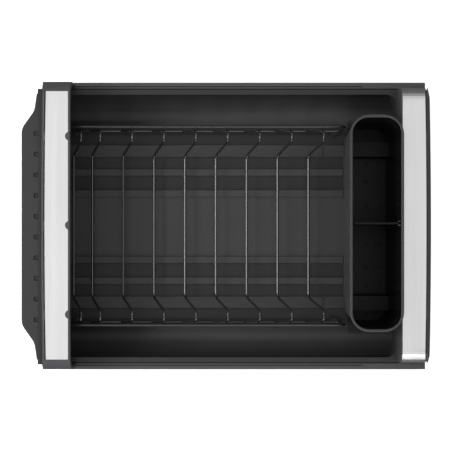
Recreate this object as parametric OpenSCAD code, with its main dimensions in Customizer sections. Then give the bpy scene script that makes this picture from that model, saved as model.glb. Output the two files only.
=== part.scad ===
// Expandable dish drying rack: an outer tray with an arched end and a drain lip, an inner tray that
// slides out of it with its own arched end, a wire plate rack and a divided cutlery caddy.
// +X runs along the tray towards the sliding end, +Z is up, and z = 0 is the counter.

/* [Overall size] */
// Length over everything with the slide pushed in
closed_l = 501; // [430:1:620]
// Width over the tray rims
rack_w = 337; // [300:1:410]
// Height of the tray rims above the counter
rim_h = 60; // [52:1:75]
// Height of the two arched ends above the counter
arch_h = 109.5; // [92:0.5:132]
// How far the inner tray slides out
travel = 108; // [60:1:130]

/* [Trays] */
// Height of the rubber feet
foot_h = 4; // [3:0.5:8]
// Thickness of the outer tray's floor
outer_floor_t = 2.5; // [2:0.1:4]
// Thickness of the outer tray's side walls
outer_wall_t = 2.5; // [2.2:0.1:4]
// Width of the outer tray's rim
outer_rim_w = 7; // [6:0.5:12]
// Thickness of both trays' rims
rim_t = 3; // [2.5:0.1:5]
// Thickness of the inner tray
inner_t = 2.4; // [2:0.1:4]
// Width of the inner tray's rim
inner_rim_w = 6.1; // [5:0.1:10]
// Radius of the sweep from the inner tray's floor to its sides
sweep_r = 35; // [20:1:40]
// Running clearance between the two trays
slide_gap = 0.3; // [0.2:0.05:1]
// Side clearance between the two trays' rims
side_gap = 1; // [0.5:0.1:2]
// Height of the raised ribs on the inner tray's floor
rib_h = 2.8; // [1:0.1:4]
// Middles of the raised ribs, out from the centre line
rib_y = [40.4, 66, 92.2];
// Widths of the raised ribs
rib_w = [8.6, 8.6, 14.7];
// Depth of the groove along the top of the outer rim
rim_groove_d = 1.8; // [0.5:0.1:2]
// Width of the groove along the top of the outer rim
rim_groove_w = 1.2; // [0.8:0.1:2]

/* [Drain lip] */
// How far the drain lip stands out past the tray's base edge
lip_l = 18.5; // [12:0.5:26]
// Length of the drain lip's straight front edge
lip_w = 240; // [150:1:256]
// How far along the tray's edge the lip's flared ends reach
lip_flare = 22; // [12:1:24]
// Radius of the bends in the lip's edge
lip_r = 20; // [6:1:24]
// How much the lip falls towards its front edge
lip_fall = 2.2; // [0.5:0.1:3]
// Number of drain pockets along the lip
pocket_n = 10; // [4:1:10]
// Distance between the drain pockets
pocket_pitch = 25.3; // [15:0.1:26]
// Side of each square drain pocket
pocket_w = 6; // [4:0.5:8]
// Depth of each drain pocket
pocket_d = 1.6; // [0.5:0.1:1.8]
// How far the pockets' walls slope in to their floors
pocket_slope = 1; // [0.2:0.1:1.5]
// Height of the drain opening under the arched end
drain_h = 7; // [4:0.5:10]

/* [Arched ends] */
// Thickness of the arched ends
hood_t = 3; // [2:0.1:4]
// How far the outer faces lean in from bottom to top
hood_lean = 20; // [5:1:30]
// Width of the left arch's top
left_top_w = 32; // [26:0.5:40]
// Width of the right arch's top
right_top_w = 31; // [26:0.5:40]
// Radius of the arches' top corners
arch_r = 18; // [10:1:30]
// Radius of the bow in the arched ends' outer faces
bow_r = 8000; // [2000:100:12000]
// How deep the left arch's inner lip hangs
inner_lip_h = 8; // [4:0.5:14]
// Set-back of the left arch from the tray's base edge
hood_setback = 5; // [3:0.5:8]

/* [Steel bands] */
// Thickness of the steel sheet
band_t = 1; // [0.6:0.1:1.5]
// Set-back of the left band from the arch's outer corner
band_edge_out = 3.4; // [2.5:0.1:5]
// Set-back of the right band from the arch's outer corner
right_edge_out = 2.6; // [2.4:0.1:5]
// Width of plastic left beside the right band on its inner edge
right_edge_in = 1.4; // [1:0.1:4]
// Width of the open slot along each band's outer edge
band_slot_w = 1.4; // [0.8:0.1:1.5]
// Depth of the open slot along each band's outer edge
band_slot_d = 2; // [1.3:0.1:2.2]
// Length of the bridges across the slots
slot_bridge_l = 11; // [6:0.5:16]
// Width of plastic left beside the left band on its inner edge
band_edge_in = 2; // [1:0.1:4]
// How far down the sides the right band reaches, from the arch's top
band_drop = 34; // [20:1:45]
// Clearance round each band in its recess
band_gap = 0.2; // [0.1:0.05:0.5]
// Radius of the half-round clips that hold the left band
clip_r = 5; // [3:0.5:6]
// Thickness of the clips
clip_t = 0.8; // [0.5:0.1:1.5]
// Distance of the outer clips from the centre line
clip_y = 101; // [60:1:130]

/* [Wire rack] */
// Diameter of the rack's wire
wire_d = 3; // [2.5:0.1:5]
// Length of the rack's side loops, over the wire's centre line
loop_l = 335; // [260:1:340]
// Height of the side loops, over the wire's centre line
loop_h = 51; // [40:1:60]
// Distance between the side loops' centre lines
loop_w = 232; // [180:1:236]
// Radius of the side loops' corners
loop_r = 8; // [6:0.5:12]
// Number of dividers that stand clear of the left arch
divider_n = 8; // [4:1:9]
// Distance between the dividers
divider_pitch = 37.3; // [30:0.1:38]
// Distance from the end divider to the first clear one
end_pitch = 22.5; // [20:0.5:34]
// Distance of the end divider from the loops' left end
divider_in = 11; // [10:0.5:18]
// How far the dividers lean towards the sliding end
divider_lean = 18; // [0:1:20]
// Height of the dividers' base wires above their feet
base_rise = 5; // [3:0.5:10]
// Height of the dividers' humps above their base wires
hump_h = 47; // [35:1:52]
// Half the length of a base wire
base_y = 86; // [60:1:88]
// Inner end of a hump's top, out from the centre line
hump_in_y = 99; // [96:0.5:101]
// Outer end of a hump's top, in from the side loop
hump_out = 4.2; // [3.9:0.1:6]
// Radius of the bends in the dividers
bend_r = 5.5; // [4:0.5:6]
// Height of the rack's rubber feet under the lower rails
rack_foot_h = 5.5; // [4:0.5:10]
// Radius of the rack's rubber feet
rack_foot_r = 4.5; // [3:0.5:6]

/* [Caddy] */
// Width of the caddy along the tray, under its rim bead
caddy_w = 58; // [48:0.5:70]
// Length of the caddy across the tray, under its rim bead
caddy_l = 240.6; // [200:0.2:258]
// Height of the caddy
caddy_h = 120; // [90:1:144]
// Radius of the caddy's corners
caddy_r = 21; // [15:1:25]
// How far each side of the caddy draws in towards its base
caddy_draft = 2.5; // [1:0.1:4]
// Thickness of the caddy's walls
caddy_t = 2; // [1.6:0.1:3]
// Height of the bead round the caddy's rim
caddy_bead_h = 3; // [2:0.5:5]
// How far the bead stands out from the caddy's wall
caddy_bead_t = 1.2; // [0.6:0.1:2]
// Easing round the top of the caddy's rim
caddy_ease = 0.9; // [0.4:0.1:1.2]
// Sideways offset of the caddy from the centre line
caddy_off_y = 2; // [0:0.5:2.5]
// Clearance between the caddy and the tray's end
caddy_gap = 0.8; // [0.5:0.1:3]
// Height of the hollow bridges over the tray's widest ribs
bridge_h = 26; // [8:1:40]
// Clearance between a rib and the bridge over it
bridge_gap = 1; // [0.5:0.1:2]
// Diameter of the caddy's drain holes
drain_hole_d = 5; // [3:0.5:6]
// Distance between the columns of drain holes
drain_pitch_x = 15.9; // [10:0.1:16]
// Rows of drain holes, out from the caddy's middle
drain_rows = [22, 52, 74, 110];
// Height of the row of vents in the caddy's long walls
vent_z = 96; // [60:1:100]
// Thickness of the caddy's divider
divider_t = 2; // [1.5:0.1:3]
// Clearance of the divider in its guides
divider_gap = 0.4; // [0.3:0.05:0.8]
// How far the divider stops below the caddy's rim
divider_down = 5; // [2:0.5:12]

/* [Feet and screws] */
// Radius of the tray's rubber feet
foot_r = 9; // [6:0.5:10]
// Distance of the tray's feet from its sides
foot_in = 34; // [28:1:45]
// Diameter of the screws' shanks
screw_d = 3; // [2.5:0.1:4]
// Diameter of the screws' heads
screw_head_d = 6; // [5:0.1:7]
// Height of the screws' heads
screw_head_h = 1.4; // [1:0.1:1.8]
// Length of the screws under the head
screw_l = 10; // [8:0.5:16]
// Diameter of the screws' bosses
boss_d = 8; // [7.5:0.5:10]

/* [Hidden] */
$fn = 64;
fine = 2880;         // fragments of the very large circles
corner_steps = 8;    // segments in a rounded corner
bend_steps = 5;      // segments in a bend of a wire
wire_sides = 12;     // sides of a wire
eps = 0.01;
plastic = [0.16, 0.16, 0.17];
caddy_plastic = [0.12, 0.12, 0.13];
steel = [0.78, 0.78, 0.79];
wire_black = [0.08, 0.08, 0.08];
rubber = [0.05, 0.05, 0.05];

// Levels
outer_top = foot_h + outer_floor_t;
inner_bottom = outer_top + slide_gap;
floor_z = inner_bottom + inner_t;

// Across the tray
half_w = rack_w / 2;
outer_in_y = half_w - outer_rim_w;
inner_out_y = outer_in_y - side_gap;
inner_in_y = inner_out_y - inner_rim_w;
sweep_y = inner_in_y - sweep_r;
left_half = half_w - 3.5;
right_half = inner_out_y - 2.9;

// Along the tray
base_x = -closed_l / 2 + lip_l;
left_foot_x = base_x + hood_setback;
left_top_x = left_foot_x + hood_lean - 1;
left_in_x = left_top_x + left_top_w;
right_foot_x = closed_l / 2;
right_top_x = right_foot_x - hood_lean;
right_in_x = right_top_x - right_top_w;
outer_rim_end_x = right_foot_x - 16;
outer_floor_end_x = right_in_x + 12;
inner_left_x = left_top_x + 8.5;
end_wall_x = right_in_x + 2;

// Stop lug and its groove
lug_l = 8;
lug_z = rim_h - rim_t - 9;
lug_h = 4;
lug_depth = 1.2;
lug_x = inner_left_x + 3;

// Wire rack
lower_rail_z = floor_z + rack_foot_h + wire_d / 2;
loop_x = left_top_x + 13;
loop_y = loop_w / 2;
divider_z = lower_rail_z + wire_d / 2 + 0.1;
first_divider_x = loop_x + divider_in;

// Caddy
caddy_x = right_in_x - caddy_gap - caddy_w / 2;
caddy_z = floor_z + 0.3;
caddy_base_w = caddy_w - 2 * caddy_draft;
caddy_base_l = caddy_l - 2 * caddy_draft;
bridge_w = rib_w[2] + 2 * bridge_gap;

// Screws
left_screw_x = left_top_x - 5.5;
left_screw_y = outer_in_y - 11.5;
right_screw_x = right_top_x - 6;
right_screw_y = right_half - hood_t - 5;

// ---------------------------------------------------------------- helpers

function unit(v) = v / norm(v);

// The arc that rounds the corner at p = [x, y, r] between its neighbours a and b
function corner_arc(a, p, b) =
    let (
        c = [p.x, p.y],
        u = unit([a.x, a.y] - c),
        v = unit([b.x, b.y] - c),
        half = acos(u * v) / 2,
        r = p[2],
        middle = c + unit(u + v) * r / sin(half),
        from = c + u * r / tan(half) - middle,
        to = c + v * r / tan(half) - middle,
        start = atan2(from.y, from.x),
        turn = atan2(to.y, to.x) - start,
        sweep = turn > 180 ? turn - 360 : turn < -180 ? turn + 360 : turn
    ) [middle, r, start, sweep];

function arc_points(arc) = [for (i = [0:corner_steps])
    let (at = arc[2] + arc[3] * i / corner_steps)
    arc[0] + arc[1] * [cos(at), sin(at)]];

// Outline through [x, y, r] corners, each rounded to its own radius
function rounded(p) = [for (i = [0:len(p) - 1])
    each (p[i][2] > 0
        ? arc_points(corner_arc(p[(i + len(p) - 1) % len(p)], p[i], p[(i + 1) % len(p)]))
        : [[p[i].x, p[i].y]])];

// Stops [x, y, heading] along a flat path of [x, y, r] bends, for a wire to follow
function wire_stops(path) =
    let (last = len(path) - 1)
    concat(
        [[path[0].x, path[0].y, heading(path[0], path[1])]],
        [for (i = [1:last - 1])
            let (arc = corner_arc(path[i - 1], path[i], path[i + 1]))
            for (step = [0:bend_steps])
                let (at = arc[2] + arc[3] * step / bend_steps)
                [arc[0].x + arc[1] * cos(at), arc[0].y + arc[1] * sin(at), at + 90 * sign(arc[3])]],
        [[path[last].x, path[last].y, heading(path[last - 1], path[last])]]);

function heading(from, to) = atan2(to.y - from.y, to.x - from.x);

// Wire along a flat path, as one tube
module bent_wire(path, d, closed = false) {
    stops = wire_stops(path);
    rings = len(stops);
    points = [for (s = stops, k = [0:wire_sides - 1])
        let (a = 360 * (k + 0.5) / wire_sides, out = d / 2 * cos(a))
        [s.x - out * sin(s[2]), s.y + out * cos(s[2]), d / 2 * sin(a)]];
    function at(ring, k) = (ring % rings) * wire_sides + k % wire_sides;
    sides = [for (ring = [0:rings - (closed ? 1 : 2)], k = [0:wire_sides - 1])
        [at(ring, k), at(ring + 1, k), at(ring + 1, k + 1), at(ring, k + 1)]];
    ends = closed ? [] : [
        [for (k = [0:wire_sides - 1]) at(0, k)],
        [for (k = [wire_sides - 1:-1:0]) at(rings - 1, k)]];
    polyhedron(points, concat(sides, ends));
}

// Draws its children and their mirror image across the tray
module both_sides() {
    children();
    mirror([0, 1, 0]) children();
}

// Extrudes a flat [y, z] shape along x
module along_x(from, to) {
    translate([from, 0, 0])
        rotate([90, 0, 90])
            linear_extrude(to - from)
                children();
}

// Extrudes a flat [x, z] shape along y, out to each side of the centre line
module along_y(half) {
    translate([0, half, 0])
        rotate([90, 0, 0])
            linear_extrude(2 * half)
                children();
}

module pan_screw(at) {
    translate(at) {
        cylinder(h = screw_head_h, d = screw_head_d);
        cylinder(h = screw_head_h + screw_l, d = screw_d);
    }
}

// ---------------------------------------------------------------- arches

// Arch outline across the tray, drawn in by a wall thickness
module arch_outline(half, top, bottom, in = 0) {
    polygon(rounded([
        [-half + in, bottom, 0],
        [-half + in, top - in, arch_r - in],
        [half - in, top - in, arch_r - in],
        [half - in, bottom, 0]]));
}

// Leaning face swept along the bow, for x growing towards the outside
module bowed_face(foot_x, top_x, bottom, top, in = 0, edge_r = 2.5) {
    slope = (foot_x - top_x) / (top - bottom);
    low = bottom - 20;
    translate([foot_x - bow_r, 0, 0])
        rotate([0, 0, -4])
            rotate_extrude(angle = 8, $fn = fine)
                translate([bow_r - foot_x, 0])
                    polygon(rounded([
                        [foot_x - 90, low, 0],
                        [foot_x - in + 20 * slope, low, 0],
                        [top_x - in + in * slope, top - in, max(edge_r - in, 0.5)],
                        [foot_x - 90, top - in, 0]]));
}

module slab(from_x, to_x, half, bottom, top) {
    translate([from_x, -half, bottom]) cube([to_x - from_x, 2 * half, top - bottom]);
}

// Solid arch block, outer side facing +x
module arch_block(foot_x, top_x, in_x, half, bottom, in = 0) {
    intersection() {
        bowed_face(foot_x, top_x, bottom, arch_h, in);
        slab(in_x + in, foot_x + 20, half, bottom, arch_h);
        along_x(in_x - 1, foot_x + 20) arch_outline(half, arch_h, bottom - 1, in);
    }
}

// Half-round clip over the edge of the left band
module band_clip(y) {
    root = band_edge_in - band_gap - 0.4;
    translate([left_in_x - band_edge_in + band_gap, y, arch_h]) {
        translate([0, 0, 0.05]) intersection() {
            translate([root, 0, 0]) cylinder(h = clip_t, r = clip_r);
            translate([root - clip_r, -clip_r, 0]) cube([clip_r, 2 * clip_r, clip_t]);
        }
        translate([0.1, -clip_r, -1]) cube([root - 0.1, 2 * clip_r, 1 + clip_t / 2]);
    }
}

// ---------------------------------------------------------------- outer tray

module outer_section() {
    translate([-half_w + 4.5, foot_h]) square([rack_w - 9, outer_floor_t]);
    for (side = [-1, 1]) {
        wall_y = outer_in_y + outer_wall_t / 2;
        translate([side * wall_y - outer_wall_t / 2, foot_h]) square([outer_wall_t, rim_h - foot_h]);
        rim_y = outer_in_y + outer_rim_w / 2;
        translate([side * rim_y - outer_rim_w / 2, rim_h - rim_t]) square([outer_rim_w, rim_t]);
    }
}

// Plan of the tray's floor with the flared drain lip
module outer_plan() {
    tip = -closed_l / 2;
    flare = lip_w / 2 + lip_flare;
    corner = half_w - 6;
    intersection() {
        translate([base_x + bow_r, 0]) circle(r = bow_r, $fn = fine);
        polygon(rounded([
            [base_x - 5, -half_w, 8],
            [base_x - 5, half_w, 8],
            [outer_floor_end_x, half_w, 0],
            [outer_floor_end_x, -half_w, 0]]));
    }
    polygon(rounded([
        [base_x + 6, -corner, 0],
        [base_x + 0.6, -corner, 0],
        [base_x - 2.4, -flare, lip_r],
        [tip, -lip_w / 2, lip_r],
        [tip, lip_w / 2, lip_r],
        [base_x - 2.4, flare, lip_r],
        [base_x + 0.6, corner, 0],
        [base_x + 6, corner, 0]]));
}

// Side view of the floor: flat, then falling gently along the lip
module floor_side() {
    tip = -closed_l / 2;
    fall = foot_h - lip_fall;
    polygon(rounded([
        [outer_floor_end_x, foot_h, 0],
        [outer_floor_end_x, outer_top, 0],
        [base_x + 2, outer_top, 20],
        [tip, outer_top - lip_fall, 1],
        [tip, fall, 0.8],
        [base_x + 2, foot_h, 20]]));
}

module outer_tray() color(plastic) difference() {
    union() {
        intersection() {
            linear_extrude(rim_h) outer_plan();
            along_y(half_w) floor_side();
        }
        along_x(left_top_x + 3, outer_floor_end_x) outer_section();
        both_sides() outer_wall_end();
    }
    // Grooves along the top of the rims
    both_sides()
        translate([left_in_x - 6, outer_in_y + 1.6, rim_h - rim_groove_d])
            cube([right_in_x - 38 - left_in_x + 6, rim_groove_w, rim_groove_d + 1]);
    // Grooves that the inner tray's stop lugs run in
    both_sides()
        translate([lug_x - 0.5, outer_in_y - 1, lug_z - 0.4])
            cube([lug_l + travel + 1, 1 + lug_depth + 0.3, lug_h + 0.8]);
    drain_pockets();
    left_screw_holes();
}

// Side walls run on past the floor's end to carry the slide
module outer_wall_end() {
    wall_l = outer_rim_end_x - outer_floor_end_x + eps;
    translate([outer_floor_end_x - eps, outer_in_y, foot_h])
        cube([wall_l, outer_wall_t, rim_h - foot_h]);
    translate([outer_floor_end_x - eps, outer_in_y, rim_h - rim_t])
        cube([wall_l, outer_rim_w, rim_t]);
}

module drain_pockets() {
    for (i = [0:pocket_n - 1]) {
        y = (i - (pocket_n - 1) / 2) * pocket_pitch;
        translate([base_x - 3.4 + pocket_w / 2, y, outer_top - pocket_d]) pocket_cut();
    }
}

// Square pocket whose walls slope in to its floor
module pocket_cut() {
    half = pocket_w / 2;
    floor_half = half - pocket_slope;
    profile = [[-floor_half, 0], [floor_half, 0], [half, pocket_d], [half, pocket_d + 5],
        [-half, pocket_d + 5], [-half, pocket_d]];
    intersection() {
        along_x(-half, half) polygon(profile);
        along_y(half) polygon(profile);
    }
}

module left_screw_holes() {
    both_sides()
        translate([left_screw_x, left_screw_y, foot_h]) {
            translate([0, 0, -1]) cylinder(h = screw_head_h + 1, d = screw_head_d + 0.4);
            cylinder(h = 20, d = screw_d + 0.4);
        }
}

// ---------------------------------------------------------------- left end

module left_end_cap() color(plastic) {
    half = left_half;
    seat = rim_h;
    mirror([1, 0, 0]) difference() {
        arch_block(-left_foot_x, -left_top_x, -left_in_x, half, outer_top);
        // Space under the arch, open towards the tray
        intersection() {
            bowed_face(-left_foot_x, -left_top_x, outer_top, arch_h, hood_t);
            along_x(-left_in_x + band_edge_in + 0.5, -left_foot_x + 20)
                arch_outline(half, arch_h, 0, hood_t);
        }
        // Room below the inner lip
        along_x(-left_in_x - 1, -left_in_x + band_edge_in + 1)
            arch_outline(half, arch_h - inner_lip_h + hood_t, 0, hood_t);
        // Seat on the tray's rim and walls
        for (side = [-1, 1])
            translate([-left_in_x - 1, side * (half + 10) - 20, 0])
                cube([left_in_x - left_top_x - 3 + 1, 40, seat]);
        // Drain opening at the foot
        translate([-left_foot_x - 15, -lip_w / 2 - 10, 0])
            cube([30, lip_w + 20, outer_top + drain_h]);
        left_band_recess();
        left_band_slot();
    }
    for (y = [-clip_y, 0, clip_y]) band_clip(y);
    both_sides() left_boss();
}

// Recess for the steel band, drawn mirrored with the cap
module left_band_recess() {
    intersection() {
        bowed_face(-left_foot_x - band_edge_out, -left_top_x - band_edge_out, outer_top, arch_h + 1, 0, 0.5);
        translate([-left_in_x + band_edge_in, -left_band_half() - band_gap, arch_h - band_t - band_gap])
            cube([60, 2 * left_band_half() + 2 * band_gap, band_t + 5]);
    }
}

// Slot beside the band, bridged in line with the clips
module left_band_slot() {
    face = band_edge_out - band_slot_w;
    difference() {
        bowed_face(-left_foot_x - face, -left_top_x - face, outer_top, arch_h + 1, 0, 0.5);
        bowed_face(-left_foot_x - band_edge_out - 1, -left_top_x - band_edge_out - 1,
            outer_top, arch_h + 1, 0, 0.5);
        slab(-left_top_x - 60, -left_foot_x + 10, left_half, -30, arch_h - band_slot_d);
        for (side = [-1, 1])
            translate([-left_top_x - 60, side * (left_band_half() + 250) - 250, -30])
                cube([90, 500, arch_h + 60]);
        for (y = [-clip_y, 0, clip_y])
            translate([-left_top_x - 60, y - slot_bridge_l / 2, -30])
                cube([90, slot_bridge_l, arch_h + 60]);
    }
}

function left_band_half() = left_half - arch_r + 5;

module left_boss() {
    translate([left_screw_x, left_screw_y, outer_top])
        difference() {
            union() {
                cylinder(h = 26, d = boss_d);
                translate([-1, 0, 0]) cube([2, left_half - left_screw_y - 1, 24]);
            }
            translate([0, 0, -1]) cylinder(h = screw_l + 1, d = screw_d);
        }
}

module left_steel_band() color(steel) mirror([1, 0, 0]) intersection() {
    bowed_face(-left_foot_x - band_edge_out - band_gap, -left_top_x - band_edge_out - band_gap,
        outer_top, arch_h + 1, 0, 0.5);
    translate([-left_in_x + band_edge_in + band_gap, -left_band_half(), arch_h - band_t])
        cube([60, 2 * left_band_half(), band_t]);
}

// ---------------------------------------------------------------- inner tray

// Cross-section of the inner tray: a flat floor swept up into upright sides
module inner_section() {
    translate([-sweep_y, inner_bottom]) square([2 * sweep_y, inner_t]);
    for (side = [-1, 1]) scale([side, 1]) {
        translate([sweep_y, floor_z + sweep_r]) intersection() {
            difference() {
                circle(r = sweep_r + inner_t, $fn = 96);
                circle(r = sweep_r, $fn = 96);
            }
            translate([0, -sweep_r - inner_t]) square(sweep_r + inner_t);
        }
        translate([inner_in_y, floor_z + sweep_r])
            square([inner_t, rim_h - floor_z - sweep_r]);
        translate([inner_in_y, rim_h - rim_t]) square([inner_rim_w, rim_t]);
    }
}

// One raised rib, hollow underneath, with a small chamfer at its top
module rib_outline(i) {
    w = rib_w[i] / 2;
    translate([rib_y[i], 0])
        polygon([[-w, floor_z - 1], [-w, floor_z + rib_h - 0.6], [0.6 - w, floor_z + rib_h],
            [w - 0.6, floor_z + rib_h], [w, floor_z + rib_h - 0.6], [w, floor_z - 1]]);
}

module inner_tray() color(plastic) difference() {
    union() {
        along_x(inner_left_x, end_wall_x + inner_t) inner_section();
        both_sides() for (i = [0:2]) along_x(inner_left_x, rib_end_x(i)) rib_outline(i);
        end_wall();
        both_sides() end_corner();
        foot_plate();
        both_sides() stop_lug();
    }
    // Hollows under the ribs
    both_sides() for (i = [0:2])
        translate([inner_left_x + 4, rib_y[i] - rib_w[i] / 2 + inner_t, inner_bottom - 1])
            cube([rib_end_x(i) - inner_left_x - 8, rib_w[i] - 2 * inner_t, rib_h + 1]);
    // Cross notches in the widest ribs that locate the wire rack
    both_sides()
        translate([notch_x(), rib_y[2] - rib_w[2] / 2 - 1, floor_z + rib_h - 1.2])
            cube([wire_d + 1, rib_w[2] + 2, 5]);
    // Fine line along the floor's edge
    both_sides()
        translate([inner_left_x - 1, sweep_y - 7, floor_z - 0.5])
            cube([end_wall_x - inner_left_x - 10, 0.9, 2]);
    right_screw_holes();
}

function notch_x() = loop_x + loop_l - 23;

// The narrow ribs stop at the caddy, and the widest run on under its bridges
function rib_end_x(i) = i == 2 ? end_wall_x : caddy_x - caddy_w / 2 + caddy_draft - 0.6;

module end_wall() {
    intersection() {
        translate([end_wall_x, -inner_out_y, inner_bottom])
            cube([inner_t, 2 * inner_out_y, rim_h - inner_bottom]);
        along_x(end_wall_x - 1, end_wall_x + inner_t + 1) inner_fill();
    }
}

// The whole area inside the inner tray's section
module inner_fill() {
    outer_r = sweep_r + inner_t;
    translate([-sweep_y, inner_bottom]) square([2 * sweep_y, rim_h - inner_bottom]);
    for (side = [-1, 1]) scale([side, 1]) {
        translate([sweep_y, floor_z + sweep_r]) circle(r = outer_r, $fn = 96);
        translate([0, floor_z + sweep_r])
            square([inner_in_y + inner_t, rim_h - floor_z - sweep_r]);
    }
}

// Rounded upright corner between the side and the end wall
module end_corner() {
    r = 13;
    intersection() {
        difference() {
            translate([end_wall_x - r, inner_in_y - r, floor_z - 1])
                cube([r + 1, r + 1, rim_h - floor_z + 1]);
            translate([end_wall_x - r, inner_in_y - r, floor_z - 2])
                cylinder(h = rim_h, r = r, $fn = 64);
        }
        along_x(end_wall_x - r - 1, end_wall_x + 1) inner_fill();
    }
}

// Floor plate under the right arch, which carries the slide's feet
module foot_plate() {
    intersection() {
        bowed_face(right_foot_x, right_top_x, inner_bottom, arch_h, hood_t + 0.3);
        slab(end_wall_x, right_foot_x, right_half - hood_t - 0.3, inner_bottom, floor_z);
    }
}

module stop_lug() {
    root_y = inner_in_y + inner_t / 2;
    translate([lug_x, root_y, lug_z]) cube([lug_l, outer_in_y + lug_depth - root_y, lug_h]);
}

module right_screw_holes() {
    both_sides()
        translate([right_screw_x, right_screw_y, inner_bottom]) {
            translate([0, 0, -1]) cylinder(h = screw_head_h + 1, d = screw_head_d + 0.4);
            cylinder(h = 20, d = screw_d + 0.4);
        }
}

// ---------------------------------------------------------------- right end

module right_end_cap() color(plastic) {
    difference() {
        arch_block(right_foot_x, right_top_x, right_in_x, right_half, inner_bottom);
        arch_block(right_foot_x, right_top_x, right_in_x, right_half, inner_bottom - 1, hood_t);
        translate([right_in_x - 1, -right_half - 1, 0])
            cube([hood_t + 2 + inner_t, 2 * right_half + 2, rim_h]);
        right_band_recess(0);
        right_band_slot();
    }
    both_sides() right_boss();
}

// Slot beside the band, bridged in two places
module right_band_slot() {
    face = right_edge_out - band_slot_w;
    difference() {
        intersection() {
            bowed_face(right_foot_x - face, right_top_x - face, inner_bottom, arch_h + 1, 0, 0.5);
            slab(right_in_x, right_foot_x, right_half + 1, arch_h - band_drop, arch_h + 1);
            along_x(right_in_x, right_foot_x) difference() {
                translate([-right_half - 1, 0]) square([2 * right_half + 2, arch_h + 1]);
                arch_outline(right_half, arch_h, -1, band_slot_d);
            }
        }
        bowed_face(right_foot_x - right_edge_out - 1, right_top_x - right_edge_out - 1,
            inner_bottom, arch_h + 1, 0, 0.5);
        for (y = [-clip_y, clip_y])
            translate([right_in_x - 5, y - slot_bridge_l / 2, 0])
                cube([60, slot_bridge_l, arch_h + 20]);
    }
}

// Ring over the arch that the band lies in
module right_band_recess(gap) {
    bottom = arch_h - band_drop;
    in = band_t + (gap == 0 ? band_gap : 0);
    intersection() {
        bowed_face(right_foot_x - right_edge_out - gap, right_top_x - right_edge_out - gap,
            inner_bottom, arch_h + 1, 0, 0.5);
        slab(right_in_x + right_edge_in + gap, right_foot_x, right_half + 1, bottom + gap, arch_h + 1);
        along_x(right_in_x, right_foot_x) difference() {
            if (gap == 0) translate([-right_half - 1, 0]) square([2 * right_half + 2, arch_h + 1]);
            else arch_outline(right_half, arch_h, 0);
            arch_outline(right_half, arch_h, -1, in);
        }
    }
}

module right_boss() {
    translate([right_screw_x, right_screw_y, floor_z])
        difference() {
            union() {
                cylinder(h = 26, d = boss_d);
                translate([-1, 0, 0]) cube([2, right_half - right_screw_y - 1, 24]);
            }
            translate([0, 0, -1]) cylinder(h = screw_l + 1, d = screw_d);
        }
}

module right_steel_band() color(steel) right_band_recess(band_gap);

// ---------------------------------------------------------------- feet and screws

module rubber_foot(at, h) {
    translate(at) {
        translate([0, 0, 0.8]) cylinder(h = h - 0.8, r = foot_r);
        cylinder(h = 0.8, r1 = foot_r - 0.8, r2 = foot_r);
    }
}

module base_feet() color(rubber) both_sides()
    for (x = [base_x + 38, outer_floor_end_x - 24])
        rubber_foot([x, half_w - foot_in, 0], foot_h);

module slide_feet() color(rubber) both_sides()
    rubber_foot([outer_floor_end_x + 20, half_w - foot_in - 16, 0], inner_bottom);

module left_cap_screws() color(steel) both_sides()
    pan_screw([left_screw_x, left_screw_y, foot_h]);

module right_cap_screws() color(steel) both_sides()
    pan_screw([right_screw_x, right_screw_y, inner_bottom]);

// ---------------------------------------------------------------- wire rack

// Closed side loop standing on edge
module rack_loop(y) {
    left = loop_x;
    right = loop_x + loop_l;
    low = lower_rail_z;
    high = lower_rail_z + loop_h;
    middle = loop_x + loop_l / 2;
    translate([0, y, 0])
        rotate([90, 0, 0])
            bent_wire([
                [middle, low, 0],
                [right, low, loop_r],
                [right, high, loop_r],
                [left, high, loop_r],
                [left, low, loop_r],
                [middle - 1, low, 0]], wire_d, closed = true);
}

module rack_loop_front() color(wire_black) rack_loop(-loop_y);

module rack_loop_rear() color(wire_black) rack_loop(loop_y);

// Divider bent from one wire, leaning about its feet on the lower rails
module rack_divider(x) {
    base = base_rise / cos(divider_lean);
    top = (base_rise + hump_h) / cos(divider_lean);
    out_y = loop_y - hump_out;
    translate([x - base_rise * tan(divider_lean), 0, divider_z])
        rotate([0, divider_lean, 0])
            rotate([90, 0, 90])
                bent_wire([
                    [-loop_y, 0.4, 0],
                    [-out_y, top, bend_r],
                    [-hump_in_y, top, bend_r],
                    [-base_y, base, bend_r],
                    [base_y, base, bend_r],
                    [hump_in_y, top, bend_r],
                    [out_y, top, bend_r],
                    [loop_y, 0.4, 0]], wire_d);
}

module rack_end_divider() color(wire_black) rack_divider(first_divider_x);

module rack_foot(x) {
    translate([x, loop_y - 1.5, floor_z])
        difference() {
            cylinder(h = rack_foot_h + wire_d * 0.6, r = rack_foot_r, $fn = 40);
            translate([-10, 1.5, rack_foot_h + wire_d / 2])
                rotate([0, 90, 0]) cylinder(h = 20, d = wire_d + 0.1, $fn = 32);
        }
}

module rack_feet() color(rubber) both_sides()
    for (x = [loop_x + loop_r + 8, loop_x + loop_l - loop_r - 1]) rack_foot(x);

// ---------------------------------------------------------------- caddy

// Rounded oblong, its long side across the tray
module oblong(w, l, r) {
    polygon(rounded([[-w / 2, -l / 2, r], [-w / 2, l / 2, r], [w / 2, l / 2, r], [w / 2, -l / 2, r]]));
}

// Drafted block, its walls drawn in by one thickness at its bottom and another at its top
module caddy_taper(in_bottom, in_top, bottom, top) {
    grow = caddy_draft / caddy_h;
    low = caddy_draft - bottom * grow + in_bottom;
    high = caddy_draft - top * grow + in_top;
    w0 = caddy_w - 2 * low;
    l0 = caddy_l - 2 * low;
    w1 = caddy_w - 2 * high;
    l1 = caddy_l - 2 * high;
    translate([caddy_x, caddy_off_y, caddy_z + bottom])
        linear_extrude(top - bottom, scale = [w1 / w0, l1 / l0], slices = 1)
            oblong(w0, l0, caddy_r - low);
}

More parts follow.
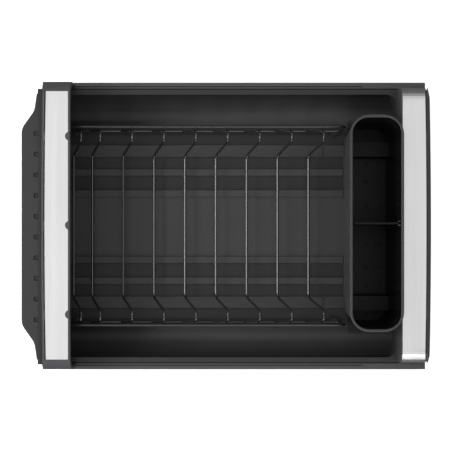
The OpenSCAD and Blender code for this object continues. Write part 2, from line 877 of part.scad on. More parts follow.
module caddy_block(in, bottom, top) {
    caddy_taper(in, in, bottom, top);
}

module caddy_body() color(caddy_plastic) {
    difference() {
        union() {
            caddy_block(0, 0, caddy_h - caddy_ease);
            caddy_block(-caddy_bead_t, caddy_h - caddy_bead_h, caddy_h - caddy_ease);
            caddy_taper(-caddy_bead_t, caddy_ease - caddy_bead_t, caddy_h - caddy_ease, caddy_h);
        }
        difference() {
            caddy_block(caddy_t, caddy_t, caddy_h + 1);
            both_sides_of_caddy() bridge(0, 0);
        }
        caddy_taper(caddy_t, caddy_t - 2 * caddy_ease, caddy_h - caddy_ease, caddy_h + caddy_ease);
        both_sides_of_caddy() bridge(caddy_t, -1);
        drain_holes();
    }
    divider_guides();
}

module both_sides_of_caddy() {
    for (side = [-1, 1]) scale([1, side, 1]) children();
}

// Hollow bridge across the caddy's floor that clears a tray rib
module bridge(in, below) {
    base = bridge_w / 2 + caddy_t - in;
    top = base - 1.7;
    h = bridge_h - in;
    z = caddy_z + below;
    along_x(caddy_x - caddy_w, caddy_x + caddy_w)
        polygon([
            [rib_y[2] - base, z],
            [rib_y[2] - top, z + h - below],
            [rib_y[2] + top, z + h - below],
            [rib_y[2] + base, z]]);
}

module drain_holes() {
    for (column = [-1:1], row = drain_rows, side = [-1, 1])
        translate([caddy_x + column * drain_pitch_x, caddy_off_y + side * row, caddy_z - 1])
            cylinder(h = caddy_t + 2, d = drain_hole_d, $fn = 32);
    // Vents through both long walls, in line with the drain holes
    for (row = drain_rows, side = [-1, 1])
        translate([caddy_x - caddy_w, caddy_off_y + side * row, caddy_z + vent_z])
            rotate([0, 90, 0])
                cylinder(h = 2 * caddy_w, d = drain_hole_d, $fn = 32);
}

// Half the caddy's inside width at a height above its base
function caddy_half(z) = caddy_w / 2 - caddy_draft * (1 - z / caddy_h) - caddy_t;

// Upright ribs either side of the divider, following the walls' draft
module divider_guides() {
    guide = 2.4;
    t = 1.4;
    top = caddy_h - divider_down;
    offset_y = divider_t / 2 + divider_gap;
    sunk = 0.4;
    for (end = [-1, 1], side = [-1, 1])
        translate([caddy_x, caddy_off_y + side * (offset_y + t / 2) + t / 2, caddy_z])
            rotate([90, 0, 0])
                linear_extrude(t)
                    polygon([
                        [end * (caddy_half(caddy_t) + sunk), caddy_t - sunk],
                        [end * (caddy_half(top) + sunk), top],
                        [end * (caddy_half(top) - guide), top - 2],
                        [end * (caddy_half(caddy_t) - guide), caddy_t - sunk]]);
}

module caddy_divider() color(caddy_plastic) {
    bottom = caddy_t + 0.3;
    top = caddy_h - divider_down;
    low_half = caddy_half(bottom) - divider_gap;
    top_half = caddy_half(top) - divider_gap;
    translate([caddy_x, caddy_off_y + divider_t / 2, caddy_z])
        rotate([90, 0, 0])
            linear_extrude(divider_t)
                polygon(rounded([
                    [-low_half, bottom, 0],
                    [-top_half, top, 2],
                    [top_half, top, 2],
                    [low_half, bottom, 0]]));
}

// ---------------------------------------------------------------- nodes

outer_tray();
left_end_cap();
left_steel_band();
base_feet();
left_cap_screws();
inner_tray();
right_end_cap();
right_steel_band();
slide_feet();
right_cap_screws();
rack_loop_front();
rack_loop_rear();
rack_feet();
rack_end_divider();
for (i = [1:divider_n])
    color(wire_black) rack_divider(first_divider_x + end_pitch + (i - 1) * divider_pitch);
caddy_body();
caddy_divider();
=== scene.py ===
"""Finishes an expandable dish drying rack: charcoal trays and arches, brushed steel bands, a
satin black wire rack and a black cutlery caddy. Every length is in metres, in the frame of the
loaded model."""

from math import cos, pi, radians, sin, tan

import bmesh
import bpy
from bpy.props import FloatProperty, FloatVectorProperty, IntProperty, PointerProperty
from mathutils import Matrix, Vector


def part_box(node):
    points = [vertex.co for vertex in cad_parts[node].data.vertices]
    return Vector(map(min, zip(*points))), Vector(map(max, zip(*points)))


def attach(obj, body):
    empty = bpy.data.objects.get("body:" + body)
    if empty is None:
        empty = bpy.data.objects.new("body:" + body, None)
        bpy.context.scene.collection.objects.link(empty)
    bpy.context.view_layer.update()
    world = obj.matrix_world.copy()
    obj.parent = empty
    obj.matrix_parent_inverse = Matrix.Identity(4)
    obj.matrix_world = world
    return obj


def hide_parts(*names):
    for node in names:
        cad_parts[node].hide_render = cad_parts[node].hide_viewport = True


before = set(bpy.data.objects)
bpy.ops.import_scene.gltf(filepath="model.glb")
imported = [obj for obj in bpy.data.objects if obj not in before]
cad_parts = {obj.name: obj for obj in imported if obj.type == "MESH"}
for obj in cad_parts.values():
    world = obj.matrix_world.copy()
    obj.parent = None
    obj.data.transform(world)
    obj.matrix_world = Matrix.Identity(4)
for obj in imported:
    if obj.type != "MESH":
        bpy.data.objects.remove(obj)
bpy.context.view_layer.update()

bl_info = {
    "name": "Dish Rack Finishes",
    "version": (1, 0, 0),
    "blender": (4, 5, 0),
    "location": "3D View > Sidebar > Dish Rack",
    "description": "Moulded, brushed and coated finishes for an expandable dish drying rack",
    "category": "Object",
}

DIVIDERS = sorted(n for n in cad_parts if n.startswith("rack_divider_"))
RACK = "rack"

# Heights that the painted light and shade of the mouldings follow
SPAN = 0.14
RIM_TOP = 0.060
RIB_TOP = 0.012
INNER_FLOOR = 0.0092

# Places of the lights and of the camera
KEY_AT = (-1.3, 0.0, 1.1)
FILL_AT = (0.1, -1.7, 0.75)
CAMERA_AT = (0.0122, -0.020)
CAMERA_SHIFT = (-0.0221, 0.0376)


# ---------------------------------------------------------------- shader maths

class Channel:
    """One output of a node, which takes part in Python arithmetic."""

    def __init__(self, sheet, socket):
        self.sheet, self.socket = sheet, socket

    def _math(self, operation, a, b):
        return self.sheet.node("ShaderNodeMath", {"operation": operation}, {0: a, 1: b})

    def __add__(self, other):
        return self._math("ADD", self, other)

    __radd__ = __add__

    def __sub__(self, other):
        return self._math("SUBTRACT", self, other)

    def __rsub__(self, other):
        return self._math("SUBTRACT", other, self)

    def __mul__(self, other):
        return self._math("MULTIPLY", self, other)

    __rmul__ = __mul__

    def __truediv__(self, other):
        return self._math("DIVIDE", self, other)


class NodeSheet:
    """The emptied node tree of a new material or surround."""

    def __init__(self, name, store=None):
        store = bpy.data.materials if store is None else store
        self.owner = store.new(name)
        self.owner.use_nodes = True
        self.tree = self.owner.node_tree
        self.tree.nodes.clear()

    def node(self, kind, settings=None, sockets=None, out=0):
        """Adds a node, makes its settings, then fills its sockets with values or links."""
        made = self.tree.nodes.new(kind)
        for key, value in (settings or {}).items():
            if key == "stops":
                self._set_stops(made.color_ramp, value)
            else:
                setattr(made, key, value)
        for key, value in (sockets or {}).items():
            if isinstance(value, Channel):
                self.tree.links.new(value.socket, made.inputs[key])
            else:
                made.inputs[key].default_value = value
        return Channel(self, made.outputs[out]) if made.outputs else None

    @staticmethod
    def _set_stops(ramp, stops):
        while len(ramp.elements) < len(stops):
            ramp.elements.new(1.0)
        for element, (place, level) in zip(ramp.elements, stops):
            element.position = place
            element.color = (level, level, level, 1.0)

    def place(self, stretch=(1.0, 1.0, 1.0)):
        """Object coordinates, stretched along each axis."""
        here = self.node("ShaderNodeTexCoord", out="Object")
        return self.node("ShaderNodeVectorMath", {"operation": "MULTIPLY"}, {0: here, 1: stretch})

    def along(self, axis):
        """One object coordinate, in metres."""
        here = self.node("ShaderNodeTexCoord", out="Object")
        return self.node("ShaderNodeSeparateXYZ", None, {0: here}, out=axis)

    def noise(self, scale, detail=2.0, stretch=(1.0, 1.0, 1.0), rough=0.5):
        return self.node("ShaderNodeTexNoise", {"noise_dimensions": "3D"},
                         {"Vector": self.place(stretch), "Scale": scale, "Detail": detail,
                          "Roughness": rough}, out="Fac")

    def ramp(self, level, stops):
        return self.node("ShaderNodeValToRGB", {"stops": stops}, {"Fac": level})

    def by_height(self, stops):
        """A level that changes with the height, from stops given in metres."""
        return self.ramp(self.along("Z") / SPAN, [(z / SPAN, level) for z, level in stops])

    def mix(self, share, dark, light):
        return self.node("ShaderNodeMix", {"data_type": "RGBA"},
                         {"Factor": share, 6: dark, 7: light}, out=2)

    def bump(self, height, depth, strength, onto=None):
        sockets = {"Height": height, "Distance": depth, "Strength": strength}
        if onto is not None:
            sockets["Normal"] = onto
        return self.node("ShaderNodeBump", None, sockets)

    def finish(self, sockets):
        surface = self.node("ShaderNodeBsdfPrincipled", None, sockets)
        self.node("ShaderNodeOutputMaterial", None, {"Surface": surface})
        return self.owner


def shade(colour, share):
    """The colour made darker or lighter, with full alpha."""
    return (colour[0] * share, colour[1] * share, colour[2] * share, 1.0)


# ---------------------------------------------------------------- finishes

def moulded_plastic(name, colour, roughness, grain, gloss, painted_shading):
    """Spark-eroded plastic: a fine even grain, slow changes of sheen and faint drawn streaks.

    The last argument gives, for each place, the painted light and shade: how light it is, up to 1
    for the full colour."""
    sheet = NodeSheet(name)
    slow = sheet.noise(14.0, 3.0)
    streaks = sheet.noise(40.0, 3.0, (0.12, 5.0, 5.0))
    fine = sheet.noise(1.0 / grain, 2.0, rough=0.6)
    cloud = sheet.ramp(slow * 0.6 + streaks * 0.4, [(0.3, 0.0), (0.7, 1.0)])
    tint = sheet.mix(cloud, shade(colour, 0.86), shade(colour, 1.16))
    speck = sheet.mix(sheet.ramp(fine, [(0.35, 0.0), (0.75, 1.0)]), shade(colour, 0.9), tint)
    # painted light and shade multiplied into the colour
    speck_with_painted_shade = sheet.node("ShaderNodeMix", {"data_type": "RGBA", "blend_type": "MULTIPLY"},
                       {"Factor": 1.0, 6: speck, 7: painted_shading(sheet)}, out=2)
    sheen = roughness + (slow - 0.5) * 0.12 + (streaks - 0.5) * 0.1 + (fine - 0.5) * 0.1
    return sheet.finish({
        "Base Color": speck_with_painted_shade, "Roughness": sheen, "Specular IOR Level": gloss,
        "Normal": sheet.bump(streaks, 0.0004, 0.15, onto=sheet.bump(fine, grain * 0.16, 0.55))})


def painted_rim_light(sheet):
    """Painted highlight on the rims, painted shade on the walls below them and on the arches just
    above them, and the tops of the arches painted a little lighter than the walls.
    """
    return sheet.by_height([(RIM_TOP - 0.0016, 0.37), (RIM_TOP - 0.0006, 1.0),
                            (RIM_TOP + 0.001, 1.0), (RIM_TOP + 0.004, 0.5),
                            (RIM_TOP + 0.030, 0.95)])


def ribbed_floor_shade(end):
    """Painted shade: the walls darker than the floor, the channels darker than the ribs and the
    middle of the floor, and darkest past the end, on the floor under the caddy.
    """
    near, far = 0.0018, 0.0019  # the squares of 42.4 and 43.6 mm
    scale = 50

    def painted_shading(sheet):
        across = sheet.along("Y")
        low_floor = 1 - sheet.by_height([(RIB_TOP - 0.0022, 0.0), (RIB_TOP - 0.0008, 1.0)])
        floor = 1 - sheet.by_height([(RIB_TOP + 0.0005, 0.0), (RIB_TOP + 0.004, 1.0)])
        beside = sheet.ramp(across * across * scale,
                            [(near * scale, 0.0), (far * scale, 1.0)])
        shade_under_caddy = sheet.ramp((sheet.along("X") - end) * 20, [(0.0, 0.0), (0.02, 1.0)])
        # painted shade on the walls, in the channels and on the floor under the caddy
        return (0.42 + floor * 0.22 - low_floor * beside * 0.34) * (1 - shade_under_caddy * low_floor * 0.9)
    return painted_shading


def caddy_inside_shade(left, top):
    """Painted shade darkens the inside of the caddy below its rim; its rim and its outer wall are
    lighter.
    """
    mid_wall, draft = 0.0022, 0.0208

    def painted_shading(sheet):
        below = 1 - sheet.by_height([(top - 0.0022, 0.0), (top - 0.0012, 1.0)])
        depth = sheet.along("X") - left - mid_wall + (sheet.along("Z") - top) * draft
        within = sheet.ramp(depth * 200 + 0.5, [(0.4, 0.0), (0.6, 1.0)])
        # painted shade inside the caddy
        return 1 - below * within * 0.9
    return painted_shading


def brushed_steel(name, colour, roughness, pitch):
    """Steel brushed along Y: hairlines, wider bands of sheen and a slow cloudiness."""
    sheet = NodeSheet(name)
    hairs = sheet.noise(1.0 / pitch, 4.0, (1.0, 0.012, 1.0), 0.65)
    bands = sheet.noise(150.0, 2.0, (1.0, 0.02, 1.0))
    cloud = sheet.noise(9.0, 2.0)
    share = sheet.ramp(hairs * 0.5 + bands * 0.3 + cloud * 0.2, [(0.3, 0.0), (0.7, 1.0)])
    return sheet.finish({
        "Base Color": sheet.mix(share, shade(colour, 0.88), shade(colour, 1.05)),
        "Metallic": 1.0,
        "Roughness": roughness + (hairs - 0.5) * 0.16 + (bands - 0.5) * 0.12,
        "Normal": sheet.bump(hairs, pitch * 0.1, 0.25)})


def coated_wire(name, colour, roughness, polish):
    """Satin black dip coating with a faint orange peel."""
    sheet = NodeSheet(name)
    peel = sheet.noise(420.0, 1.0)
    slow = sheet.noise(60.0, 2.0)
    return sheet.finish({
        "Base Color": sheet.mix(slow, shade(colour, 0.8), shade(colour, 1.25)),
        "Roughness": roughness + (slow - 0.5) * 0.16, "Specular IOR Level": 0.6,
        "Coat Weight": 1.0, "Coat IOR": polish, "Coat Roughness": 0.08,
        "Normal": sheet.bump(peel, 0.0003, 0.18)})


def matt_rubber(name, colour):
    """Rubber with a dusty bloom over a fine grain."""
    sheet = NodeSheet(name)
    fine = sheet.noise(1500.0, 2.0)
    bloom = sheet.noise(120.0, 3.0)
    return sheet.finish({
        "Base Color": sheet.mix(bloom, shade(colour, 0.7), shade(colour, 1.5)),
        "Roughness": 0.75 + (bloom - 0.5) * 0.2, "Specular IOR Level": 0.35,
        "Normal": sheet.bump(fine, 0.0001, 0.4)})


def plated_steel(name, colour):
    """Zinc plating on the screws, with small spangles."""
    sheet = NodeSheet(name)
    spangle = sheet.node("ShaderNodeTexVoronoi", {"feature": "F1"},
                         {"Vector": sheet.place(), "Scale": 900.0}, out="Distance")
    return sheet.finish({
        "Base Color": sheet.mix(spangle, shade(colour, 1.1), shade(colour, 0.8)),
        "Metallic": 1.0, "Roughness": 0.32 + spangle * 0.2,
        "Normal": sheet.bump(spangle, 0.00004, 0.2)})


def plain_floor(name, colour, glow):
    """Seamless matt board under the rack, lit a little from below."""
    sheet = NodeSheet(name)
    slow = sheet.noise(2.0, 2.0)
    return sheet.finish({
        "Base Color": sheet.mix(slow, shade(colour, 0.995), shade(colour, 1.0)),
        "Roughness": 0.9, "Specular IOR Level": 0.1,
        "Emission Color": (1.0, 1.0, 1.0, 1.0), "Emission Strength": glow})


def soft_surround(name, strength, horizon):
    """Even white light from above that falls off towards the horizon."""
    sheet = NodeSheet(name, bpy.data.worlds)
    way = sheet.node("ShaderNodeTexCoord", out="Generated")
    height = sheet.node("ShaderNodeSeparateXYZ", None, {0: way}, out="Z")
    level = sheet.ramp(height, [(0.0, horizon), (0.3, horizon * 1.3),
                                (0.75, 0.85), (1.0, 1.0)])
    light = sheet.node("ShaderNodeBackground", None, {"Color": level, "Strength": strength})
    sheet.node("ShaderNodeOutputWorld", None, {"Surface": light})
    return sheet.owner


# ---------------------------------------------------------------- geometry

def coat(node, material, edge=0.0003):
    """Gives a loaded node its finish, and eases its sharp edges."""
    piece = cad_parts[node]
    piece.data.materials.clear()
    piece.data.materials.append(material)
    if edge:
        weld = piece.modifiers.new("Joined corners", "WELD")
        weld.merge_threshold = 0.000002
        ease = piece.modifiers.new("Eased edges", "BEVEL")
        ease.width = edge
        ease.segments = 2
        ease.limit_method = "ANGLE"
        ease.angle_limit = radians(40)
        ease.use_clamp_overlap = True
        ease.harden_normals = True
    return piece


def bend(points, radius, steps):
    """The path through the points, with each inner corner rounded."""
    path = [points[0]]
    for before, corner, after in zip(points, points[1:], points[2:]):
        back, on = (before - corner).normalized(), (after - corner).normalized()
        half = back.angle(on) / 2
        middle = corner + (back + on).normalized() * radius / sin(half)
        start = (corner + back * radius / tan(half) - middle).normalized()
        end = (corner + on * radius / tan(half) - middle).normalized()
        path += [middle + start.slerp(end, k / steps) * radius for k in range(steps + 1)]
    return path + [points[-1]]


def smoothstep(t):
    return t * t * (3 - 2 * t)


def resample(path, pitch):
    """Adds stops along the long straight runs, so that none is over the pitch."""
    out = [path[0]]
    for a, b in zip(path, path[1:]):
        parts = max(1, round((b - a).length / pitch))
        out += [a.lerp(b, k / parts) for k in range(1, parts + 1)]
    return out


def tube(name, path, radius, sides=16, closed=False, swell=None):
    """A smooth wire along the path. swell(t) scales its radius, t from 0 to 1 along it."""
    mesh, shape = bpy.data.meshes.new(name), bmesh.new()
    count = len(path)
    rings, normal = [], None
    for i, centre in enumerate(path):
        before = path[i - 1] if closed or i else path[0]
        after = path[(i + 1) % count] if closed or i < count - 1 else path[-1]
        along = (after - before).normalized()
        if normal is None:
            normal = along.orthogonal().normalized()
        normal = (normal - along * normal.dot(along)).normalized()
        side = along.cross(normal)
        r = radius * (swell(i / (count - 1)) if swell else 1.0)
        rings.append([shape.verts.new(centre + (normal * cos(a) + side * sin(a)) * r)
                      for a in (2 * pi * k / sides for k in range(sides))])
    for i in range(count if closed else count - 1):
        a, b = rings[i], rings[(i + 1) % count]
        for k in range(sides):
            shape.faces.new([a[k], a[(k + 1) % sides], b[(k + 1) % sides], b[k]])
    if not closed:
        for ring, centre, turn in ((rings[0], path[0], -1), (rings[-1], path[-1], 1)):
            shape.faces.new(ring if turn > 0 else ring[::-1])
    bmesh.ops.recalc_face_normals(shape, faces=shape.faces)
    for face in shape.faces:
        face.smooth = len(face.verts) == 4
    shape.to_mesh(mesh)
    shape.free()
    piece = bpy.data.objects.new(name, mesh)
    bpy.context.scene.collection.objects.link(piece)
    return piece


def stand_in(piece, node, body, material):
    """The piece shows in place of a loaded node, and moves with the same body."""
    piece.data.materials.append(material)
    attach(piece, body)
    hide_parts(node)
    return piece


# ---------------------------------------------------------------- sizes and colours

def length(name, description, default):
    return FloatProperty(name=name, description=description, default=default, min=0.0,
                         subtype="DISTANCE", unit="LENGTH", precision=4)


def share(name, description, default):
    return FloatProperty(name=name, description=description, default=default, min=0.0, max=1.0,
                         subtype="FACTOR")


def ratio(name, description, default):
    return FloatProperty(name=name, description=description, default=default, min=1.0, max=3.0)


def power(name, description, default):
    return FloatProperty(name=name, description=description, default=default, min=0.0,
                         subtype="POWER", unit="POWER")


def colour(name, description, default):
    return FloatVectorProperty(name=name, description=description, default=default, size=3,
                               min=0.0, max=1.0, subtype="COLOR")


class DishRackMouldings(bpy.types.PropertyGroup):
    """Trays, arches and caddy."""
    tray_colour: colour("Tray colour", "Colour of the trays and arches", (0.075, 0.075, 0.079))
    tray_roughness: share("Tray roughness", "How matt the trays and arches are", 0.5)
    tray_grain: length("Tray grain", "Size of the grain in the trays' surface", 0.0009)
    tray_gloss: share("Tray gloss", "Strength of the trays' sheen", 0.3)
    caddy_colour: colour("Caddy colour", "Colour of the caddy and its divider",
                         (0.072, 0.072, 0.075))
    caddy_roughness: share("Caddy roughness", "How matt the caddy is", 0.3)
    caddy_grain: length("Caddy grain", "Size of the grain in the caddy's surface", 0.0007)
    caddy_gloss: share("Caddy gloss", "Strength of the caddy's sheen", 0.15)
    edge: length("Eased edge", "Width of the easing along the moulded edges", 0.0003)


class DishRackMetal(bpy.types.PropertyGroup):
    """Steel bands, screws and wire."""
    band_colour: colour("Band colour", "Colour of the brushed steel bands", (0.80, 0.80, 0.805))
    band_roughness: share("Band roughness", "How matt the brushed steel is", 0.34)
    brush_pitch: length("Brush pitch", "Distance between the hairlines in the steel", 0.0006)
    screw_colour: colour("Screw colour", "Colour of the plated screws", (0.5, 0.5, 0.5))
    wire_colour: colour("Wire colour", "Colour of the coated wire", (0.012, 0.012, 0.0125))
    wire_roughness: share("Wire roughness", "How matt the wire's coating is", 0.22)
    wire_polish: ratio("Wire polish", "Refractive index of the dividers' coating", 1.65)
    rail_polish: ratio("Rail polish", "Refractive index of the side loops' coating", 1.2)
    wire_sides: IntProperty(name="Wire sides", description="Sides of each wire's section",
                            default=16, min=8, max=32)
    rubber_colour: colour("Rubber colour", "Colour of the rubber feet", (0.02, 0.02, 0.02))


class DishRackWire(bpy.types.PropertyGroup):
    """Shape of the wire rack."""
    wire_d: length("Wire diameter", "Diameter of the rack's wire", 0.003)
    loop_r: length("Loop corner", "Radius of the side loops' corners", 0.008)
    seam: length("Loop seam", "Distance between the two ends of a side loop", 0.001)
    bend_r: length("Divider bend", "Radius of the bends in the dividers", 0.0082)
    base_y: length("Base half length", "Half the length of a divider's base wire", 0.086)
    hump_in: length("Hump inner end", "Inner end of a hump's top, from the centre line", 0.099)
    hump_out: length("Hump outer end", "Outer end of a hump's top, in from the loop", 0.0042)
    base_rise: length("Base rise", "Height of a base wire above the divider's feet", 0.005)
    lean: FloatProperty(name="Divider lean", description="How far the dividers lean",
                        default=radians(18), subtype="ANGLE", unit="ROTATION")
    weld_swell: FloatProperty(name="Weld swell", description="How much a wire spreads at its weld",
                              default=1.35, min=1.0, max=2.0)


class DishRackStage(bpy.types.PropertyGroup):
    """Floor, lights and camera."""
    floor_colour: colour("Floor colour", "Colour of the floor", (0.93, 0.93, 0.93))
    floor_size: length("Floor size", "Side of the square floor", 8.0)
    backdrop_height: length("Backdrop height", "Height of the round backdrop", 6.0)
    floor_glow: FloatProperty(name="Floor glow", description="Light given off by the floor",
                              default=0.6)
    sky: FloatProperty(name="Surround", description="Strength of the white surround", default=0.9)
    horizon: share("Horizon", "Share of the surround's light left at the horizon", 0.12)
    key_power: power("Key light", "Power of the large soft light", 14.0)
    key_size: length("Key size", "Side of the large soft light", 0.7)
    fill_power: power("Front light", "Power of the low light at the front", 8.0)
    fill_size: length("Front light size", "Side of the low light at the front", 0.9)
    camera_height: length("Camera height", "Height of the camera above the inner floor", 1.4)
    camera_lens: FloatProperty(name="Lens", description="Focal length", default=91.4,
                               subtype="DISTANCE_CAMERA", unit="CAMERA")


class DishRackSettings(bpy.types.PropertyGroup):
    """All the sizes and colours of the finishes."""
    mouldings: PointerProperty(type=DishRackMouldings)
    metal: PointerProperty(type=DishRackMetal)
    wire: PointerProperty(type=DishRackWire)
    stage: PointerProperty(type=DishRackStage)


# ---------------------------------------------------------------- operators

class DISHRACK_OT_stage(bpy.types.Operator):
    """Lays the floor, hangs the lights and sets the camera straight above the rack."""
    bl_idname = "dish_rack.stage"
    bl_label = "Set the Stage"

    def execute(self, context):
        stage = context.scene.dish_rack.stage
        scene = context.scene
        scene.view_settings.view_transform = "Standard"
        scene.world = soft_surround("soft_surround", stage.sky, stage.horizon)

        mesh, shape = bpy.data.meshes.new("floor"), bmesh.new()
        bmesh.ops.create_grid(shape, x_segments=8, y_segments=8, size=stage.floor_size / 2)
        shape.to_mesh(mesh)
        shape.free()
        floor = bpy.data.objects.new("floor", mesh)
        scene.collection.objects.link(floor)
        mesh.materials.append(plain_floor("matt_board", stage.floor_colour, stage.floor_glow))
        floor.visible_glossy = False

        mesh, shape = bpy.data.meshes.new("backdrop"), bmesh.new()
        bmesh.ops.create_cone(shape, segments=48, radius1=stage.floor_size / 2,
                              radius2=stage.floor_size / 2, depth=stage.backdrop_height)
        bmesh.ops.translate(shape, verts=shape.verts, vec=(0, 0, stage.backdrop_height / 2))
        shape.to_mesh(mesh)
        shape.free()
        backdrop = bpy.data.objects.new("backdrop", mesh)
        scene.collection.objects.link(backdrop)
        mesh.materials.append(plain_floor("white_paper", stage.floor_colour, 1.0))
        for rays in ("visible_glossy", "visible_diffuse", "visible_shadow"):
            setattr(backdrop, rays, False)

        self.hang(scene, "key", KEY_AT, stage.key_size, stage.key_power)
        self.hang(scene, "front_fill", FILL_AT, stage.fill_size, stage.fill_power)

        lens = bpy.data.cameras.new("camera")
        lens.sensor_width = 36.0
        lens.lens = stage.camera_lens
        lens.shift_x, lens.shift_y = CAMERA_SHIFT
        camera = bpy.data.objects.new("camera", lens)
        camera.location = (*CAMERA_AT, INNER_FLOOR + stage.camera_height)
        scene.collection.objects.link(camera)
        scene.camera = camera
        return {"FINISHED"}

    @staticmethod
    def hang(scene, name, at, size, power):
        """A square soft light that faces the middle of the rack."""
        light = bpy.data.lights.new(name, "AREA")
        light.shape, light.size, light.energy = "SQUARE", size, power
        lamp = bpy.data.objects.new(name, light)
        lamp.location = at
        lamp.rotation_mode = "QUATERNION"
        lamp.rotation_quaternion = (-Vector(at)).to_track_quat("-Z", "Y")
        scene.collection.objects.link(lamp)
        return lamp


class DISHRACK_OT_trays(bpy.types.Operator):
    """Finishes the two trays and the two arched ends in charcoal moulded plastic."""
    bl_idname = "dish_rack.trays"
    bl_label = "Finish the Trays and Arches"

    def execute(self, context):
        look = context.scene.dish_rack.mouldings
        caddy_low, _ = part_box("caddy_body")
        # the rims, the walls, the channels and the floor under the caddy carry painted light and
        # shade
        for name, painted_shading, nodes in (
                ("charcoal_plastic", painted_rim_light, ("outer_tray", "left_end_cap", "right_end_cap")),
                ("ribbed_plastic", ribbed_floor_shade(caddy_low.x + 0.008), ("inner_tray",))):
            plastic = moulded_plastic(name, look.tray_colour, look.tray_roughness,
                                      look.tray_grain, look.tray_gloss, painted_shading)
            for node in nodes:
                coat(node, plastic, look.edge)
        return {"FINISHED"}


class DISHRACK_OT_bands(bpy.types.Operator):
    """Finishes the steel bands over the arches in fine brushed steel."""
    bl_idname = "dish_rack.bands"
    bl_label = "Brush the Steel Bands"

    def execute(self, context):
        look = context.scene.dish_rack.metal
        steel = brushed_steel("brushed_steel", look.band_colour, look.band_roughness,
                              look.brush_pitch)
        for node in ("left_steel_band", "right_steel_band"):
            coat(node, steel, 0.0002)
        return {"FINISHED"}


class DISHRACK_OT_wire_rack(bpy.types.Operator):
    """Draws the side loops and the dividers of the rack as smooth coated wires."""
    bl_idname = "dish_rack.wire_rack"
    bl_label = "Draw the Wire Rack"

    def execute(self, context):
        settings = context.scene.dish_rack
        look, wire = settings.metal, settings.wire
        black = coated_wire("black_coating", look.wire_colour, look.wire_roughness,
                            look.wire_polish)
        dull = coated_wire("dull_coating", look.wire_colour, look.wire_roughness,
                           look.rail_polish)
        r = wire.wire_d / 2
        for node in ("rack_loop_front", "rack_loop_rear"):
            low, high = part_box(node)
            y = (low.y + high.y) / 2
            inset = (high.y - low.y) / 2
            x = (low.x + inset, high.x - inset)
            z = (low.z + inset, high.z - inset)
            middle = (x[0] + x[1]) / 2
            corners = [Vector((middle, y, z[0])), Vector((x[1], y, z[0])), Vector((x[1], y, z[1])),
                       Vector((x[0], y, z[1])), Vector((x[0], y, z[0])),
                       Vector((middle - wire.seam, y, z[0]))]
            path = resample(bend(corners, wire.loop_r, 10), 0.02)
            loop = tube(node + "_wire", path, r, look.wire_sides, closed=True)
            stand_in(loop, node, RACK, dull)
        loop_y = y
        for node in ["rack_end_divider", *DIVIDERS]:
            low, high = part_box(node)
            up = Vector((sin(wire.lean), 0, cos(wire.lean)))
            foot = Vector((low.x + r * cos(wire.lean), 0, z[0] + r + 0.0001))
            base = wire.base_rise / cos(wire.lean)
            top = (high.z - r - foot.z) / cos(wire.lean)
            out = loop_y - wire.hump_out

            def at(across, rise):
                return foot + up * rise + Vector((0, across, 0))

            half = [(loop_y, 0.0004), (out, top), (wire.hump_in, top), (wire.base_y, base)]
            corners = [at(-a, b) for a, b in half] + [at(a, b) for a, b in reversed(half)]
            path = resample(bend(corners, wire.bend_r, 8), 0.006)
            swell = self.weld_shape(path, wire.weld_swell, r)
            divider = tube(node + "_wire", path, r, look.wire_sides, swell=swell)
            stand_in(divider, node, RACK, black)
        return {"FINISHED"}

    @staticmethod
    def weld_shape(path, swell, r):
        """The wire spreads over its last stretch, where it is welded to the rail."""
        total = sum((b - a).length for a, b in zip(path, path[1:]))
        reach = 3 * r / total

        def scale(t):
            near = max(0.0, 1 - min(t, 1 - t) / reach)
            return 1 + (swell - 1) * smoothstep(near)

        return scale


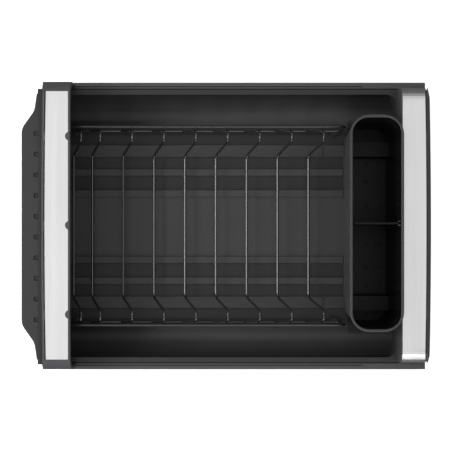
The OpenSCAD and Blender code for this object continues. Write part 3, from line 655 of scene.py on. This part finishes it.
class DISHRACK_OT_caddy(bpy.types.Operator):
    """Finishes the cutlery caddy and its divider in smooth black plastic."""
    bl_idname = "dish_rack.caddy"
    bl_label = "Finish the Caddy"

    def execute(self, context):
        look = context.scene.dish_rack.mouldings
        low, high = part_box("caddy_body")
        # the inside of the caddy carries painted shade
        plastic = moulded_plastic("black_plastic", look.caddy_colour, look.caddy_roughness,
                                  look.caddy_grain, look.caddy_gloss, caddy_inside_shade(low.x, high.z))
        for node in ("caddy_body", "caddy_divider"):
            coat(node, plastic, look.edge)
        return {"FINISHED"}


class DISHRACK_OT_fittings(bpy.types.Operator):
    """Finishes the rubber feet and the plated screws."""
    bl_idname = "dish_rack.fittings"
    bl_label = "Finish the Feet and Screws"

    def execute(self, context):
        look = context.scene.dish_rack.metal
        rubber = matt_rubber("black_rubber", look.rubber_colour)
        zinc = plated_steel("zinc_plate", look.screw_colour)
        for node in ("base_feet", "slide_feet", "rack_feet"):
            coat(node, rubber, 0.0004)
        for node in ("left_cap_screws", "right_cap_screws"):
            coat(node, zinc, 0.0002)
        return {"FINISHED"}


class DISHRACK_PT_panel(bpy.types.Panel):
    """Lists the sizes, the colours and the steps that finish the rack."""
    bl_idname = "DISHRACK_PT_panel"
    bl_label = "Dish Rack"
    bl_space_type = "VIEW_3D"
    bl_region_type = "UI"
    bl_category = "Dish Rack"

    def draw(self, context):
        for step in STEPS:
            self.layout.operator(step.bl_idname)
        for group in ("mouldings", "metal", "wire", "stage"):
            settings = getattr(context.scene.dish_rack, group)
            box = self.layout.box()
            box.label(text=group.title())
            for name in settings.bl_rna.properties.keys():
                if name not in ("rna_type", "name"):
                    box.prop(settings, name)


STEPS = (DISHRACK_OT_stage, DISHRACK_OT_trays, DISHRACK_OT_bands, DISHRACK_OT_wire_rack,
         DISHRACK_OT_caddy, DISHRACK_OT_fittings)
CLASSES = (DishRackMouldings, DishRackMetal, DishRackWire, DishRackStage, DishRackSettings,
           *STEPS, DISHRACK_PT_panel)


def register():
    for cls in CLASSES:
        bpy.utils.register_class(cls)
    bpy.types.Scene.dish_rack = PointerProperty(type=DishRackSettings)


def unregister():
    del bpy.types.Scene.dish_rack
    for cls in reversed(CLASSES):
        bpy.utils.unregister_class(cls)


def main():
    register()
    bpy.ops.dish_rack.stage()
    bpy.ops.dish_rack.trays()
    bpy.ops.dish_rack.bands()
    bpy.ops.dish_rack.wire_rack()
    bpy.ops.dish_rack.caddy()
    bpy.ops.dish_rack.fittings()


if __name__ == "__main__":
    main()
